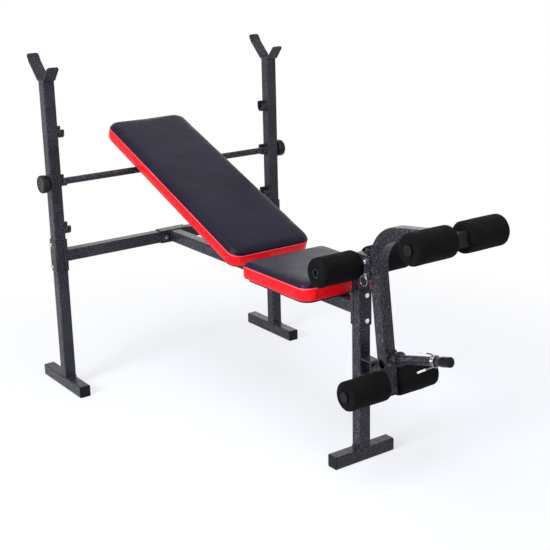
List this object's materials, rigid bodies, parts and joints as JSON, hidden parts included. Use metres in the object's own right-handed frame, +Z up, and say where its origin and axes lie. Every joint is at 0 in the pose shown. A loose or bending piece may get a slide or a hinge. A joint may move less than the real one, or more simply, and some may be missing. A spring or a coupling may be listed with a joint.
{
  "type": "weight bench with barbell rack and leg developer",
  "caption": "Incline weight bench with a barbell rack, a seat, an adjustable backrest and a swinging leg developer with foam rollers and a weight post.",
  "frame": {"origin": "on the floor, in the middle of the bench's outline", "axes": "+Z up, the leg developer faces -Y, the barbell rack stands at +Y, X runs across the bench"},
  "size_m": [0.9426, 1.6041, 1.1043],
  "materials": {
    "frame_paint": "dark hammered powder coat",
    "zinc": "bright zinc plating",
    "chrome": "polished wire",
    "black_plastic": "matte moulded",
    "grip_plastic": "light moulded",
    "foam": "matte foam sleeve",
    "rubber": "matte",
    "board": "dark painted board",
    "vinyl": "dark vinyl with a red side band"
  },
  "bodies": {
    "frame": {"arm_bumper": "rubber", "bumper_stud": "zinc", "clamp_bolts": "zinc", "clamp_channel_front": "frame_paint", "clamp_channel_left": "frame_paint", "clamp_channel_rear": "frame_paint", "clamp_channel_right": "frame_paint", "clamp_nuts": "zinc", "crossbeam": "frame_paint", "front_foot_caps": "black_plastic", "front_post": "frame_paint", "hinge_nuts": "zinc", "hinge_rod": "zinc", "main_beam": "frame_paint", "pivot_bolt": "zinc", "pivot_nut": "zinc", "rack_foot_caps": "black_plastic", "rack_upright_left": "frame_paint", "rack_upright_right": "frame_paint", "seat_board": "board", "seat_cushion": "vinyl", "seat_roller_tube": "frame_paint", "seat_screws": "zinc", "seat_straps": "frame_paint", "support_bar": "frame_paint"},
    "arm": {"leg_arm": "frame_paint", "pivot_barrel": "frame_paint", "arm_caps": "black_plastic", "upper_roller_tube": "frame_paint", "lower_roller_tube": "frame_paint", "upper_roller_caps": "black_plastic", "lower_roller_caps": "black_plastic", "weight_post": "frame_paint", "weight_post_bolts": "zinc", "weight_post_cap": "black_plastic"},
    "backrest": {"backrest_cushion": "vinyl", "backrest_board": "board", "backrest_rails": "frame_paint", "backrest_screws": "zinc"},
    "collar": {"spring_collar": "chrome", "collar_grips": "grip_plastic"},
    "pin": {"lock_pin": "zinc"},
    "ring": {"pull_ring": "chrome"},
    "left_stud": {"knob_left_stud": "zinc"},
    "right_stud": {"knob_right_stud": "zinc"},
    "left_knob": {"knob_left": "black_plastic"},
    "right_knob": {"knob_right": "black_plastic"},
    "seat_left_roller": {"foam_seat_left": "foam"},
    "seat_right_roller": {"foam_seat_right": "foam"},
    "upper_left_roller": {"foam_upper_left": "foam"},
    "upper_right_roller": {"foam_upper_right": "foam"},
    "lower_left_roller": {"foam_lower_left": "foam"},
    "lower_right_roller": {"foam_lower_right": "foam"}
  },
  "joints": [
    {"name": "arm_swing", "type": "hinge", "parent": "frame", "child": "arm", "pos_m": [0, -0.44457, 0.604], "axis": [-1, 0, 0], "range_deg": [0, 80]},
    {"name": "backrest_lift", "type": "hinge", "parent": "frame", "child": "backrest", "pos_m": [0, 0.05693, 0.4894], "axis": [1, 0, 0], "range_deg": [0, 35]},
    {"name": "collar_slide", "type": "slide", "parent": "arm", "child": "collar", "axis": [0, -0.9681, 0.2504], "range_m": [-0.068, 0.016]},
    {"name": "lock_pin_pull", "type": "slide", "parent": "frame", "child": "pin", "axis": [-1, 0, 0], "range_m": [0, 0.052]},
    {"name": "pull_ring_swing", "type": "hinge", "parent": "pin", "child": "ring", "pos_m": [-0.0321, -0.44607, 0.567], "axis": [0, 1, 0], "range_deg": [0, 45]},
    {"name": "left_stud_travel", "type": "slide", "parent": "frame", "child": "left_stud", "axis": [-1, 0, 0], "range_m": [0, 0.0285]},
    {"name": "left_knob_turn", "type": "hinge", "parent": "left_stud", "child": "left_knob", "pos_m": [-0.453, 0.62803, 0.7], "axis": [-1, 0, 0], "range_deg": [0, 6720]},
    {"name": "right_stud_travel", "type": "slide", "parent": "frame", "child": "right_stud", "axis": [1, 0, 0], "range_m": [0, 0.0285]},
    {"name": "right_knob_turn", "type": "hinge", "parent": "right_stud", "child": "right_knob", "pos_m": [0.453, 0.62803, 0.7], "axis": [1, 0, 0], "range_deg": [0, 6720]},
    {"name": "seat_left_roller_spin", "type": "hinge", "parent": "frame", "child": "seat_left_roller", "pos_m": [0, -0.39607, 0.585], "axis": [1, 0, 0], "continuous": true},
    {"name": "seat_right_roller_spin", "type": "hinge", "parent": "frame", "child": "seat_right_roller", "pos_m": [0, -0.39607, 0.585], "axis": [1, 0, 0], "continuous": true},
    {"name": "upper_left_roller_spin", "type": "hinge", "parent": "arm", "child": "upper_left_roller", "pos_m": [0, -0.76005, 0.72824], "axis": [1, 0, 0], "continuous": true},
    {"name": "upper_right_roller_spin", "type": "hinge", "parent": "arm", "child": "upper_right_roller", "pos_m": [0, -0.76005, 0.72824], "axis": [1, 0, 0], "continuous": true},
    {"name": "lower_left_roller_spin", "type": "hinge", "parent": "arm", "child": "lower_left_roller", "pos_m": [0, -0.514, 0.26819], "axis": [1, 0, 0], "continuous": true},
    {"name": "lower_right_roller_spin", "type": "hinge", "parent": "arm", "child": "lower_right_roller", "pos_m": [0, -0.514, 0.26819], "axis": [1, 0, 0], "continuous": true}
  ],
  "couplings": [
    {"joint": "left_stud_travel", "follows": "left_knob_turn", "m_per_rad": 0.00023873},
    {"joint": "right_stud_travel", "follows": "right_knob_turn", "m_per_rad": 0.00023873}
  ]
}
